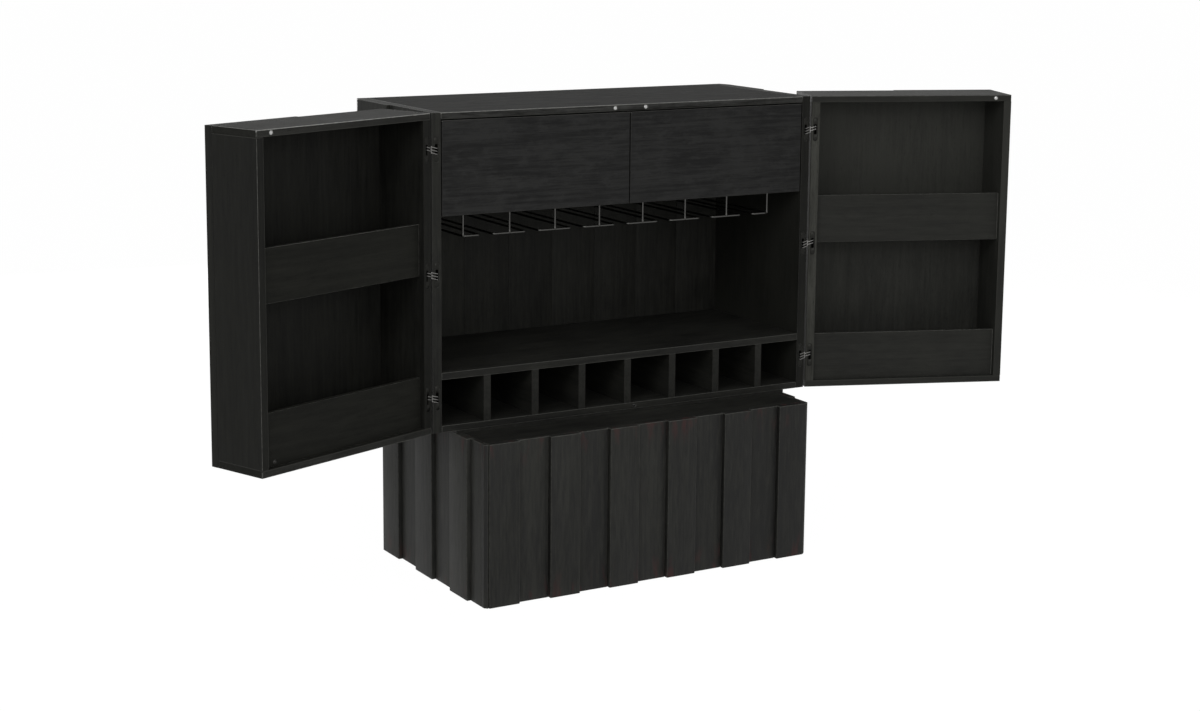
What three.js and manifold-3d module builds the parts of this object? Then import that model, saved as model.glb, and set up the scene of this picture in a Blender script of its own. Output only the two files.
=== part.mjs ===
// Bar armoire: a case with two deep box doors, standing on a base clad in staggered planks.
// Millimetres, +Z up, front towards -Y. The origin is on the floor, under the middle of the case's front.
// The doors are modelled standing open, each turned about its hinge axis until it is
// doorShortOfStraightDegrees short of lying in one line with its place when closed.

import * as THREE from 'three';
import { mergeVertices } from 'three/addons/utils/BufferGeometryUtils.js';
import Module from 'manifold-3d';

const wasm = await Module();
wasm.setup();

// Overall sizes
const caseWidth = 1067;
const caseDepth = 420;
const totalHeight = 1162;
const doorShortOfStraightDegrees = 20.8;

// Fits: doors and drawers run in the wider gaps, and glued or pressed pieces keep the hair gap
const hairGap = 0.3;
const closingGap = 2;
const doorMeetingGap = 2;
const drawerGap = 3;
const cutOverrun = 5;

// Base
const baseHeight = 397;
const baseSetIn = 61.5;
const baseOverhang = 130;
const plankStep = 10;
const plankThickness = 12;
const frontPlankCount = 11;
const sidePlankCount = 6;
const sideRecessWidth = 96.5;
const sideFrontRecessWidth = 55;
const cornerChamfer = 10;
const baseBackBeyondCase = 1;
const baseWall = 18;
const baseTopThickness = 16;
const stretcherHeight = 60;
const spacerThickness = 8;
const spacerInset = 2;

// Case boards
const sideThickness = 23;
const sideStep = 11;
const sideStepDepth = 224;
const rearCornerCut = 28;
const caseBoardThickness = 16;
const backInset = 12;
const backThickness = 20;
const shelfThickness = 17;
const cubbyHeight = 111;
const cubbyCount = 8;
const dividerThickness = 19;

// Drawers
const drawerFrontHeight = 223.5;
const drawerFrontThickness = 20;
const deckThickness = 12;
const deckRise = 2;
const partitionThickness = 16;
const partitionClearance = 1;
const trayBackClearance = 28;
const trayTopDrop = 38;
const trayLift = 1;
const drawerWall = 12;
const drawerFloor = 8;

// Telescopic runner under each drawer: a steel channel between a guide on the deck and a rail
// under the tray
const guideHeight = 11;
const guideWall = 8;
const runnerWidth = 38;
const runnerWall = 2;

// Wire glass rack
const wireDiameter = 5;
const hangerCount = 8;
const stemSlotWidth = 31;
const hangerDrop = 58;
const rackSideInset = 76.5;
const rackFrontInset = 40;
const rackBackInset = 28;
const strapWidth = 20;
const strapThickness = 3;

// Doors
const doorBoxDepth = 142;
const doorFaceThickness = 11;
const doorFaceStep = 10;
const doorFaceSplitShare = 0.5;
const hingeStileThickness = 23;
const freeStileThickness = 19.5;
const doorBoardThickness = 16;
const doorShelfHeight = 378;
const doorShelfThickness = 16;
const railHeight = 122;
const railThickness = 12;
const railRecess = 15;

// Hinges: a plate and body let into each edge, with knuckles on a pin just outside the corner
const hingeEndDistance = 85;
const hingeAxisOut = 2;
const plateWidth = 12;
const plateHeight = 60;
const plateThickness = 2.5;
const hingeBodyWidth = 8;
const hingeBodyHeight = 42;
const hingeBodyDepth = 16;
const knuckleHeight = 8;
const pinRadius = 0.8;
const pinClearance = 0.1;
const armRootWidth = 6;

// Round magnetic catches
const catchRadius = 4.5;
const catchThickness = 4;
const topCatchOffset = 43;
const bottomCatchOffset = 20;
const railCatchOffset = 51;
const railCatchRise = 10;

// Facet counts of round pieces
const wireSides = 8;
const roundSides = 20;
const smallSides = 12;
const plateEndSegments = 5;

// Levels and planes worked out from the sizes above
const caseHalf = caseWidth / 2;
const insideHalf = caseHalf - sideThickness;
const nicheDepth = caseDepth - backInset - backThickness;
const baseHalf = caseHalf - baseSetIn;
const baseRecessHalf = baseHalf - plankStep;
const baseInsideHalf = baseRecessHalf - plankThickness;
const baseFrontProud = -baseOverhang;
const baseFrontRecess = baseFrontProud + plankStep;
const baseFrontInside = baseFrontRecess + plankThickness;
const baseBack = caseDepth + baseBackBeyondCase;
const caseBottom = baseHeight + spacerThickness;
const floorLevel = caseBottom + caseBoardThickness;
const ceilingLevel = totalHeight - caseBoardThickness;
const shelfBottom = floorLevel + cubbyHeight;
const shelfTop = shelfBottom + shelfThickness;
const drawerTop = ceilingLevel - drawerGap;
const drawerBottom = drawerTop - drawerFrontHeight;
const deckBottom = drawerBottom + deckRise;
const deckTop = deckBottom + deckThickness;
const deckFront = drawerFrontThickness + partitionClearance;
const guideTop = deckTop + guideHeight;
const runnerBottom = deckTop + hairGap;
const trayBack = nicheDepth - trayBackClearance;
const drawerOuter = insideHalf - drawerGap;
const trayInner = partitionThickness / 2 + drawerGap;
const runnerCentre = (drawerOuter + trayInner) / 2;
const hingeAxisX = caseHalf + hingeAxisOut;
const hingeAxisY = -closingGap / 2;
const knuckleRadius = hingeAxisOut - hairGap;
const doorInside = -closingGap;
const doorBack = doorInside - doorBoxDepth;
const doorWidth = caseHalf - doorMeetingGap / 2;
const hingeLevels = [
  caseBottom + hingeEndDistance,
  (caseBottom + totalHeight) / 2,
  totalHeight - hingeEndDistance,
];
const hingeNames = ['bottom', 'middle', 'top'];

// Materials
function finish(colour, roughness, metalness) {
  return new THREE.MeshStandardMaterial({ color: colour, roughness, metalness });
}

const stainedWood = finish(0x2a2a28, 0.6, 0);
const stainedInside = finish(0x1d1d1b, 0.65, 0);
const plankWood = finish(0x33332f, 0.6, 0);
const drawerLining = finish(0x3a342c, 0.7, 0);
const blackWire = finish(0x1a1a1b, 0.45, 0.8);
const steel = finish(0xa4a6a8, 0.35, 1);

const armoire = new THREE.Group();

// A box between two corners, each span given as [low, high]
function block(spanX, spanY, spanZ) {
  const box = new THREE.BoxGeometry(spanX[1] - spanX[0], spanY[1] - spanY[0], spanZ[1] - spanZ[0]);
  box.translate((spanX[0] + spanX[1]) / 2, (spanY[0] + spanY[1]) / 2, (spanZ[0] + spanZ[1]) / 2);
  return box;
}

// A plan outline, a list of [x, y], carried up from low to high
function upright(outline, low, high) {
  const shape = new THREE.Shape(outline.map(([x, y]) => new THREE.Vector2(x, y)));
  const solid = new THREE.ExtrudeGeometry(shape, { depth: high - low, bevelEnabled: false });
  solid.translate(0, 0, low);
  return solid;
}

// A round bar of the given radius between two points
function bar(from, to, radius, sides) {
  const start = new THREE.Vector3(...from);
  const along = new THREE.Vector3(...to).sub(start);
  const cylinder = new THREE.CylinderGeometry(radius, radius, along.length(), sides);
  const turn = new THREE.Quaternion();
  turn.setFromUnitVectors(new THREE.Vector3(0, 1, 0), along.clone().normalize());
  cylinder.applyQuaternion(turn);
  cylinder.translate(...start.addScaledVector(along, 1 / 2).toArray());
  return cylinder;
}

// A closed mesh with its shared corners merged, as a solid that can be joined and cut
function solidOf(geometry) {
  const bare = geometry.clone();
  bare.deleteAttribute('normal');
  bare.deleteAttribute('uv');
  const merged = mergeVertices(bare);
  return new wasm.Manifold(new wasm.Mesh({
    numProp: 3,
    vertProperties: merged.attributes.position.array,
    triVerts: new Uint32Array(merged.index.array),
  }));
}

function geometryOf(solid) {
  const mesh = solid.getMesh();
  const geometry = new THREE.BufferGeometry();
  geometry.setAttribute('position', new THREE.BufferAttribute(mesh.vertProperties, 3));
  geometry.setIndex(new THREE.BufferAttribute(mesh.triVerts, 1));
  return geometry;
}

function joined(pieces) {
  return geometryOf(pieces.map(solidOf).reduce((whole, piece) => whole.add(piece)));
}

function cutFrom(geometry, cutters) {
  const whole = solidOf(geometry);
  return geometryOf(cutters.map(solidOf).reduce((rest, cutter) => rest.subtract(cutter), whole));
}

function place(parent, name, geometry, material) {
  const mesh = new THREE.Mesh(geometry, material);
  mesh.name = name;
  parent.add(mesh);
  return mesh;
}

// Two ends in either order, as [low, high]
function span(a, b) {
  return a < b ? [a, b] : [b, a];
}

// A span measured from the case's outer side inwards, on the left (side -1) or the right (side 1)
function sideSpan(side, near, far) {
  return span(side * (caseHalf - near), side * (caseHalf - far));
}

// A row of planks as steps, from start: each step is [position, depth] at both ends of a plank.
// Proud and recessed planks take turns, the first one proud.
function plankSteps(start, widths, proud, recess) {
  const steps = [];
  let position = start;
  widths.forEach((width, index) => {
    const depth = index % 2 === 0 ? proud : recess;
    steps.push([position, depth], [position + width, depth]);
    position += width;
  });
  return steps;
}

// Base

// All of one width, between two corners that are cut off
function frontPlanks() {
  const rowHalf = baseRecessHalf - cornerChamfer;
  const widths = Array(frontPlankCount).fill((2 * rowHalf) / frontPlankCount);
  const outline = [
    [-baseRecessHalf, baseFrontInside],
    [-baseRecessHalf, baseFrontProud + cornerChamfer],
    ...plankSteps(-rowHalf, widths, baseFrontProud, baseFrontRecess),
    [baseRecessHalf, baseFrontProud + cornerChamfer],
    [baseRecessHalf, baseFrontInside],
  ];
  return upright(outline, 0, baseHeight);
}

function sidePlanks(side) {
  const proudCount = sidePlankCount / 2;
  const restWidth = baseBack - baseFrontInside - sideFrontRecessWidth - (proudCount - 1) * sideRecessWidth;
  const widths = [];
  for (let index = 0; index < sidePlankCount; index += 1) {
    const isFront = index === sidePlankCount - 1;
    const width = index % 2 === 0 ? restWidth / proudCount : sideRecessWidth;
    widths.push(isFront ? sideFrontRecessWidth : width);
  }
  const steps = plankSteps(-baseBack, widths, side * baseHalf, side * baseRecessHalf);
  const outline = [
    [side * baseInsideHalf, baseBack],
    ...steps.map(([position, depth]) => [depth, -position]),
    [side * baseInsideHalf, baseFrontInside],
  ];
  return upright(outline, 0, baseHeight);
}

// A box without a bottom, with a cross stretcher under the middle of the case's front
function baseFrame() {
  const spanX = [-baseInsideHalf, baseInsideHalf];
  const spanY = [baseFrontInside, baseBack];
  const hollow = block(
    [spanX[0] + baseWall, spanX[1] - baseWall],
    [spanY[0] + baseWall, spanY[1] - baseWall],
    [-cutOverrun, baseHeight - baseTopThickness],
  );
  const carcass = cutFrom(block(spanX, spanY, [0, baseHeight]), [hollow]);
  const stretcher = block(
    [spanX[0] + baseWall / 2, spanX[1] - baseWall / 2],
    [-baseWall / 2, baseWall / 2],
    [0, stretcherHeight],
  );
  return joined([carcass, stretcher]);
}

function buildBase() {
  const spacer = block(
    [-baseHalf, baseHalf],
    [spacerInset, baseBack - spacerInset],
    [baseHeight, caseBottom],
  );
  place(armoire, 'base_frame', baseFrame(), stainedWood);
  place(armoire, 'base_front_planks', frontPlanks(), plankWood);
  place(armoire, 'base_left_planks', sidePlanks(-1), plankWood);
  place(armoire, 'base_right_planks', sidePlanks(1), plankWood);
  place(armoire, 'spacer_board', spacer, stainedInside);
}

// Hinges

// A flat plate with round ends, standing in the plane of a board's edge, grown by margin on every side
function hingePlate(centreX, spanY, level, margin) {
  const half = plateWidth / 2 + margin;
  const straight = (plateHeight - plateWidth) / 2;
  const shape = new THREE.Shape();
  shape.moveTo(half, -straight);
  shape.lineTo(half, straight);
  shape.absarc(0, straight, half, 0, Math.PI, false);
  shape.lineTo(-half, -straight);
  shape.absarc(0, -straight, half, Math.PI, 2 * Math.PI, false);
  const settings = { depth: spanY[1] - spanY[0], bevelEnabled: false, curveSegments: plateEndSegments };
  const plate = new THREE.ExtrudeGeometry(shape, settings);
  plate.rotateX(Math.PI / 2);
  plate.translate(centreX, spanY[1], level);
  return plate;
}

// The plate and body of one hinge leaf. face is the plane of the board's edge, and inward is the
// direction into the board along Y, 1 for the case and -1 for the door.
function hingeInsert(side, thickness, face, inward, level, margin) {
  const centreX = side * (caseHalf - thickness / 2);
  const plateEnd = face + inward * (plateThickness + margin);
  const bodyEnd = face + inward * (plateThickness + hingeBodyDepth + margin);
  const open = face - inward * (margin > 0 ? cutOverrun : 0);
  const halfBody = hingeBodyWidth / 2 + margin;
  const halfHeight = hingeBodyHeight / 2 + margin;
  const bodyX = [centreX - halfBody, centreX + halfBody];
  return [
    hingePlate(centreX, span(open, plateEnd), level, margin),
    block(bodyX, span(open, bodyEnd), [level - halfHeight, level + halfHeight]),
  ];
}

// An arm from the middle of the plate to the knuckle, lying in the gap between door and case
function hingeArm(side, thickness, face, inward, low, high) {
  const centreX = side * (caseHalf - thickness / 2);
  const axisX = side * hingeAxisX;
  const gapSpan = [-closingGap + hairGap, -hairGap];
  const rootX = [centreX - armRootWidth / 2, centreX + armRootWidth / 2];
  const rootEnd = face + inward * (plateThickness / 2);
  const rootSpan = inward > 0 ? [gapSpan[0], rootEnd] : [rootEnd, gapSpan[1]];
  return [
    block(span(centreX, axisX), gapSpan, [low, high]),
    block(rootX, rootSpan, [low, high]),
    bar([axisX, hingeAxisY, low], [axisX, hingeAxisY, high], knuckleRadius, smallSides),
  ];
}

// Knuckles from the bottom up: case, door, case
function knuckleLevels(level) {
  const pitch = knuckleHeight + hairGap;
  return [-1, 0, 1].map((step) => [
    level + step * pitch - knuckleHeight / 2,
    level + step * pitch + knuckleHeight / 2,
  ]);
}

function caseLeaf(side, level) {
  const levels = knuckleLevels(level);
  const axisX = side * hingeAxisX;
  const [pinLow, pinHigh] = [levels[0][0], levels[2][1]];
  const pin = bar([axisX, hingeAxisY, pinLow], [axisX, hingeAxisY, pinHigh], pinRadius, smallSides);
  return joined([
    ...hingeInsert(side, sideThickness, 0, 1, level, 0),
    ...hingeArm(side, sideThickness, 0, 1, ...levels[0]),
    ...hingeArm(side, sideThickness, 0, 1, ...levels[2]),
    pin,
  ]);
}

function doorLeaf(side, level) {
  const [low, high] = knuckleLevels(level)[1];
  const axisX = side * hingeAxisX;
  const whole = joined([
    ...hingeInsert(side, hingeStileThickness, doorInside, -1, level, 0),
    ...hingeArm(side, hingeStileThickness, doorInside, -1, low, high),
  ]);
  const bore = bar(
    [axisX, hingeAxisY, low - cutOverrun],
    [axisX, hingeAxisY, high + cutOverrun],
    pinRadius + pinClearance,
    smallSides,
  );
  return cutFrom(whole, [bore]);
}

function hingeMortises(side, thickness, face, inward) {
  return hingeLevels.flatMap((level) => hingeInsert(side, thickness, face, inward, level, hairGap));
}

// Round catches, let into a board's edge that faces along Y

function catchDisc(x, face, inward, level) {
  return bar([x, face, level], [x, face + inward * catchThickness, level], catchRadius, roundSides);
}

function catchBore(x, face, inward, level) {
  const start = [x, face - inward * cutOverrun, level];
  const end = [x, face + inward * (catchThickness + hairGap), level];
  return bar(start, end, catchRadius + hairGap, roundSides);
}

// Case

function casePanels() {
  const topLevel = ceilingLevel + caseBoardThickness / 2;
  const bottomLevel = caseBottom + caseBoardThickness / 2;
  const insideX = [-insideHalf, insideHalf];
  [-1, 1].forEach((side) => {
    const outer = side * caseHalf;
    const outline = [
      [side * insideHalf, 0],
      [outer, 0],
      [outer, sideStepDepth],
      [outer + side * sideStep, sideStepDepth],
      [outer + side * sideStep, caseDepth - rearCornerCut],
      [outer, caseDepth],
      [side * insideHalf, caseDepth],
    ];
    const mortises = hingeMortises(side, sideThickness, 0, 1);
    const panel = cutFrom(upright(outline, caseBottom, totalHeight), mortises);
    place(armoire, side < 0 ? 'side_panel_left' : 'side_panel_right', panel, stainedWood);
  });
  const topBores = [-1, 1].map((side) => catchBore(side * topCatchOffset, 0, 1, topLevel));
  const topPanel = cutFrom(block(insideX, [0, caseDepth], [ceilingLevel, totalHeight]), topBores);
  const bottomBore = catchBore(bottomCatchOffset, 0, 1, bottomLevel);
  const bottomPanel = cutFrom(block(insideX, [0, caseDepth], [caseBottom, floorLevel]), [bottomBore]);
  const backPanel = block(insideX, [nicheDepth, nicheDepth + backThickness], [floorLevel, ceilingLevel]);
  place(armoire, 'top_panel', topPanel, stainedWood);
  place(armoire, 'bottom_panel', bottomPanel, stainedWood);
  place(armoire, 'back_panel', backPanel, stainedInside);
  place(armoire, 'case_catch_top_left', catchDisc(-topCatchOffset, 0, 1, topLevel), steel);
  place(armoire, 'case_catch_top_right', catchDisc(topCatchOffset, 0, 1, topLevel), steel);
  place(armoire, 'case_catch_bottom', catchDisc(bottomCatchOffset, 0, 1, bottomLevel), steel);
}

function caseInside() {
  const insideX = [-insideHalf, insideHalf];
  const cubbyWidth = (2 * insideHalf - (cubbyCount - 1) * dividerThickness) / cubbyCount;
  place(armoire, 'serving_shelf', block(insideX, [0, nicheDepth], [shelfBottom, shelfTop]), stainedWood);
  for (let index = 1; index < cubbyCount; index += 1) {
    const left = -insideHalf + index * cubbyWidth + (index - 1) * dividerThickness;
    const divider = block([left, left + dividerThickness], [0, nicheDepth], [floorLevel, shelfBottom]);
    place(armoire, `cubby_divider_${index}`, divider, stainedInside);
  }
}

// The board under the drawers, with the partition between them and a guide for each runner
function drawerDeck() {
  const deckY = [deckFront, nicheDepth];
  const halfPartition = partitionThickness / 2;
  const guideInner = runnerWidth / 2 + hairGap;
  const guides = [-1, 1].flatMap((side) => [-1, 1].map((edge) => {
    const near = side * runnerCentre + edge * guideInner;
    return block(span(near, near + edge * guideWall), [deckFront, trayBack], [deckBottom, guideTop]);
  }));
  return joined([
    block([-insideHalf, insideHalf], deckY, [deckBottom, deckTop]),
    block([-halfPartition, halfPartition], deckY, [deckBottom, ceilingLevel]),
    ...guides,
  ]);
}

// Drawers: a flush front and an open tray behind it, whose rail slides in the runner

function drawerRunner(side) {
  const outerX = [side * runnerCentre - runnerWidth / 2, side * runnerCentre + runnerWidth / 2];
  const innerX = [outerX[0] + runnerWall, outerX[1] - runnerWall];
  const groove = block(
    innerX,
    [deckFront - cutOverrun, trayBack + cutOverrun],
    [runnerBottom + runnerWall, guideTop + cutOverrun],
  );
  return cutFrom(block(outerX, [deckFront, trayBack], [runnerBottom, guideTop]), [groove]);
}

function drawerTray(side) {
  const trayX = span(side * drawerOuter, side * trayInner);
  const trayY = [drawerFrontThickness, trayBack];
  const trayBottom = guideTop + trayLift;
  const trayTop = drawerTop - trayTopDrop;
  const railHalf = runnerWidth / 2 - runnerWall - hairGap;
  const railX = [side * runnerCentre - railHalf, side * runnerCentre + railHalf];
  const railBottom = runnerBottom + runnerWall + hairGap;
  const hollow = block(
    [trayX[0] + drawerWall, trayX[1] - drawerWall],
    [trayY[0] + drawerWall, trayY[1] - drawerWall],
    [trayBottom + drawerFloor, trayTop + cutOverrun],
  );
  const shell = cutFrom(block(trayX, trayY, [trayBottom, trayTop]), [hollow]);
  return joined([shell, block(railX, trayY, [railBottom, trayBottom + drawerFloor / 2])]);
}

function buildDrawer(side) {
  const name = side < 0 ? 'left_drawer' : 'right_drawer';
  const frontX = span(side * drawerOuter, side * (drawerGap / 2));
  const front = block(frontX, [0, drawerFrontThickness], [drawerBottom, drawerTop]);
  place(armoire, `${name}_front`, front, stainedWood);
  place(armoire, `${name}_tray`, drawerTray(side), drawerLining);
  place(armoire, `${name}_runner`, drawerRunner(side), steel);
}

// Wire rack: eight hangers in a row, each with a flat wire frame that holds the feet of the glasses,
// hung by two stems from straps under the deck. The end hangers reach to one side only.

function glassRack() {
  const radius = wireDiameter / 2;
  const level = deckBottom - hangerDrop;
  const rackFront = rackFrontInset;
  const rackBack = nicheDepth - rackBackInset;
  const firstStem = rackSideInset - insideHalf;
  const hangerPitch = (-2 * firstStem) / (hangerCount - 1);
  const hangerHalfWidth = (hangerPitch - stemSlotWidth) / 2 - radius;
  const strapSpanZ = [deckBottom - strapThickness, deckBottom];
  const strapHalf = -firstStem + strapWidth;
  const pieces = [rackFront, rackBack].map((y) => block(
    [-strapHalf, strapHalf],
    [y - strapWidth / 2, y + strapWidth / 2],
    strapSpanZ,
  ));
  for (let index = 0; index < hangerCount; index += 1) {
    const stem = firstStem + index * hangerPitch;
    const left = index === 0 ? stem : stem - hangerHalfWidth;
    const right = index === hangerCount - 1 ? stem : stem + hangerHalfWidth;
    [rackFront, rackBack].forEach((y) => {
      pieces.push(bar([left - radius, y, level], [right + radius, y, level], radius, wireSides));
      pieces.push(bar([stem, y, level], [stem, y, strapSpanZ[0] + strapThickness / 2], radius, wireSides));
    });
    [left, right].forEach((x) => {
      pieces.push(bar([x, rackFront, level], [x, rackBack, level], radius, wireSides));
    });
  }
  return joined(pieces);
}

// Doors, built closed and then turned open about the hinge axis

function buildDoor(side) {
  const sideName = side < 0 ? 'left' : 'right';
  const name = `${sideName}_door`;
  const pivot = new THREE.Group();
  pivot.position.set(side * hingeAxisX, hingeAxisY, 0);
  pivot.rotation.z = side * (Math.PI - THREE.MathUtils.degToRad(doorShortOfStraightDegrees));
  const door = new THREE.Group();
  door.position.set(-side * hingeAxisX, -hingeAxisY, 0);
  pivot.add(door);
  armoire.add(pivot);

  const boxY = [doorBack, doorInside];
  const lowerEdge = caseBottom + doorBoardThickness;
  const upperEdge = totalHeight - doorBoardThickness;
  const stileZ = [lowerEdge + hairGap, upperEdge - hairGap];
  const betweenX = sideSpan(side, hingeStileThickness + hairGap, doorWidth - freeStileThickness - hairGap);
  const topLevel = upperEdge + doorBoardThickness / 2;
  const shelfLevel = caseBottom + doorShelfHeight;
  const railY = [doorInside - railRecess - railThickness, doorInside - railRecess];

  const topBore = catchBore(side * topCatchOffset, doorInside, -1, topLevel);
  const topBoard = cutFrom(block(sideSpan(side, 0, doorWidth), boxY, [upperEdge, totalHeight]), [topBore]);
  const bottomBoard = block(sideSpan(side, 0, doorWidth), boxY, [caseBottom, lowerEdge]);
  const hingeStile = cutFrom(
    block(sideSpan(side, 0, hingeStileThickness), boxY, stileZ),
    hingeMortises(side, hingeStileThickness, doorInside, -1),
  );
  const freeStile = block(sideSpan(side, doorWidth - freeStileThickness, doorWidth), boxY, stileZ);
  place(door, `${name}_top_board`, topBoard, stainedWood);
  place(door, `${name}_bottom_board`, bottomBoard, stainedWood);
  place(door, `${name}_hinge_stile`, hingeStile, stainedWood);
  place(door, `${name}_free_stile`, freeStile, stainedWood);

  const faceFront = doorBack - hairGap;
  const split = doorWidth * doorFaceSplitShare;
  const recessedFront = faceFront - doorFaceThickness;
  const proudFront = recessedFront - doorFaceStep;
  const faceZ = [caseBottom, totalHeight];
  const face = joined([
    block(sideSpan(side, 0, split + hairGap), [recessedFront, faceFront], faceZ),
    block(sideSpan(side, split, doorWidth), [proudFront, faceFront], faceZ),
  ]);
  place(door, `${name}_face`, face, stainedWood);

  const shelfZ = [shelfLevel, shelfLevel + doorShelfThickness];
  const shelf = block(betweenX, [doorBack, railY[0] - hairGap], shelfZ);
  const upperRail = block(betweenX, railY, [shelfLevel, shelfLevel + railHeight]);
  let lowerRail = block(betweenX, railY, [lowerEdge + hairGap, lowerEdge + railHeight]);
  if (side < 0) {
    const catchX = -railCatchOffset;
    const catchLevel = lowerEdge + railCatchRise;
    lowerRail = cutFrom(lowerRail, [catchBore(catchX, railY[1], -1, catchLevel)]);
    place(door, `${name}_catch_bottom`, catchDisc(catchX, railY[1], -1, catchLevel), steel);
  }
  place(door, `${name}_shelf`, shelf, stainedInside);
  place(door, `${name}_upper_rail`, upperRail, stainedWood);
  place(door, `${name}_lower_rail`, lowerRail, stainedWood);
  place(door, `${name}_catch_top`, catchDisc(side * topCatchOffset, doorInside, -1, topLevel), steel);

  hingeLevels.forEach((level, index) => {
    place(door, `${name}_hinge_${hingeNames[index]}`, doorLeaf(side, level), steel);
    place(armoire, `case_${sideName}_hinge_${hingeNames[index]}`, caseLeaf(side, level), steel);
  });
}

buildBase();
casePanels();
caseInside();
place(armoire, 'drawer_deck', drawerDeck(), stainedInside);
place(armoire, 'glass_rack', glassRack(), blackWire);
[-1, 1].forEach((side) => {
  buildDrawer(side);
  buildDoor(side);
});

export default armoire;
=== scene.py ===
# Bar armoire of charcoal stained wood: two deep box doors standing open, drawers over a wire glass
# rack, a serving shelf over eight cubbies, and a base clad in staggered planks.
# Metres, +Z up, front towards -Y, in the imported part's own frame.

import math

import bmesh
import bpy
import numpy as np
from mathutils import Matrix


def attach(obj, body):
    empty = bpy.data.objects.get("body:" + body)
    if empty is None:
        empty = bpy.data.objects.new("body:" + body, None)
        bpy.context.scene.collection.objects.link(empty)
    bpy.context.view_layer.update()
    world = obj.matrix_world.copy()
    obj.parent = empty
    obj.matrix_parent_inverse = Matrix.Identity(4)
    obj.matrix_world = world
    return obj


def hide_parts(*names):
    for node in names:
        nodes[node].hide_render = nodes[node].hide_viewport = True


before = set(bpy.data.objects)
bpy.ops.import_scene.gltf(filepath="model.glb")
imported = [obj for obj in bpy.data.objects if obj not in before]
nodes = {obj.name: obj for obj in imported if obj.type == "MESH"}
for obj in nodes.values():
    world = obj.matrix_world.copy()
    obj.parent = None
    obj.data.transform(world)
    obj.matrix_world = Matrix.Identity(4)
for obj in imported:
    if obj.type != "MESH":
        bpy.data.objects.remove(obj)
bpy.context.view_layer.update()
print("part loaded:", len(nodes), "nodes")


# Shader maths

class Wire:
    # one output socket of a material's tree; arithmetic on it adds Math nodes
    def __init__(self, tree, socket=None):
        self.tree = tree
        self.socket = socket

    def node(self, kind, settings=None, inputs=None, output=0):
        # a new node: first its settings, then its sockets' values or links, and one output as a wire
        made = self.tree.nodes.new(kind)
        for key, value in (settings or {}).items():
            setattr(made, key, value)
        for key, value in (inputs or {}).items():
            if isinstance(value, Wire):
                self.tree.links.new(value.socket, made.inputs[key])
            else:
                made.inputs[key].default_value = value
        return Wire(self.tree, made.outputs[output])

    def maths(self, operation, *others):
        return self.node("ShaderNodeMath", {"operation": operation}, dict(enumerate((self, *others))))

    def __add__(self, other):
        return self.maths("ADD", other)

    def __sub__(self, other):
        return self.maths("SUBTRACT", other)

    def __rsub__(self, other):
        return self.node("ShaderNodeMath", {"operation": "SUBTRACT"}, {0: other, 1: self})

    def __mul__(self, other):
        return self.maths("MULTIPLY", other)

    def __gt__(self, other):
        return self.maths("GREATER_THAN", other)

    def __lt__(self, other):
        return self.maths("LESS_THAN", other)

    __radd__ = __add__
    __rmul__ = __mul__

    def clamped(self):
        return self.maths("MAXIMUM", 0.0).maths("MINIMUM", 1.0)

    def split(self):
        # x, y and z of this vector
        x = self.node("ShaderNodeSeparateXYZ", inputs={0: self})
        return [Wire(self.tree, x.socket.node.outputs[axis]) for axis in "XYZ"]

    def noise(self, scale, detail, roughness):
        return self.node("ShaderNodeTexNoise", inputs={
            "Vector": self, "Scale": scale, "Detail": detail, "Roughness": roughness})

    def between(self, low, high):
        # the colour that goes from low to high as this value goes from 0 to 1
        low, high = (end if isinstance(end, Wire) else (*end, 1) for end in (low, high))
        return self.node("ShaderNodeMix", {"data_type": "RGBA"}, {0: self, 6: low, 7: high}, output=2)


def newMaterial(name):
    material = bpy.data.materials.new(name)
    material.use_nodes = True
    tree = material.node_tree
    return material, Wire(tree), tree.nodes["Principled BSDF"]


def feed(wire, node, socket):
    wire.tree.links.new(wire.socket, node.inputs[socket])


# Where the doors stand: each turns about an upright axis just outside the case. Open, it runs
# outwards and, by the tilt, a little to the front.

doorStand = {"axis": (0.5355, -0.001), "tilt": math.radians(20.8)}


def doorReach(x, y):
    # how far along an open door from its hinge: aside times cos(tilt) less y times sin(tilt)
    aside = x.maths("ABSOLUTE") - doorStand["axis"][0]
    return aside * math.cos(doorStand["tilt"]) - (y - doorStand["axis"][1]) * math.sin(doorStand["tilt"])


def doorDepth(x, y):
    # how far behind an open door's inner side: aside times sin(tilt) plus y times cos(tilt)
    aside = x.maths("ABSOLUTE") - doorStand["axis"][0]
    return aside * math.sin(doorStand["tilt"]) + (y - doorStand["axis"][1]) * math.cos(doorStand["tilt"])


# Wood

charcoal = {
    "deep": (0.0022, 0.0022, 0.0017),
    "pale": (0.0255, 0.0257, 0.0218),
    "streak": 1.5,  # from here to the wear: how much each mark shows
    "fleck": 1.3,
    "band": 0.8,
    "blotch": 0.9,
    "figure": 0.3,
    "cloud": 0.0,
    "pores": 0.35,
    "wear": 0.0,
    "roughness": 0.68,
    "gloss": 0.18,
    "relief": 0.0003,  # depth of the grain, in metres
}
plankLook = {
    **charcoal, "pale": (0.0228, 0.0231, 0.0195), "streak": 2.1, "fleck": 2.1, "wear": 0.6,
    "roughness": 0.66, "gloss": 0.28, "relief": 0.0005,
}
# the top panel: a paler, less glossy copy of the charcoal, painted light on its upward face
topLook = {**charcoal, "pale": (0.056, 0.0563, 0.0535), "streak": 1.9, "roughness": 0.82, "gloss": 0.095}
drawerLook = {
    **charcoal, "deep": (0.0021, 0.0021, 0.0020), "pale": (0.0245, 0.0246, 0.0238),
    "streak": 2.5, "fleck": 1.6, "blotch": 2.0, "figure": 1.0, "cloud": 1.5,
}
innerLook = {
    **charcoal, "deep": (0.0030, 0.0030, 0.0024), "pale": (0.0300, 0.0302, 0.0257),
    "streak": 1.0, "fleck": 0.7,
}
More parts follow.
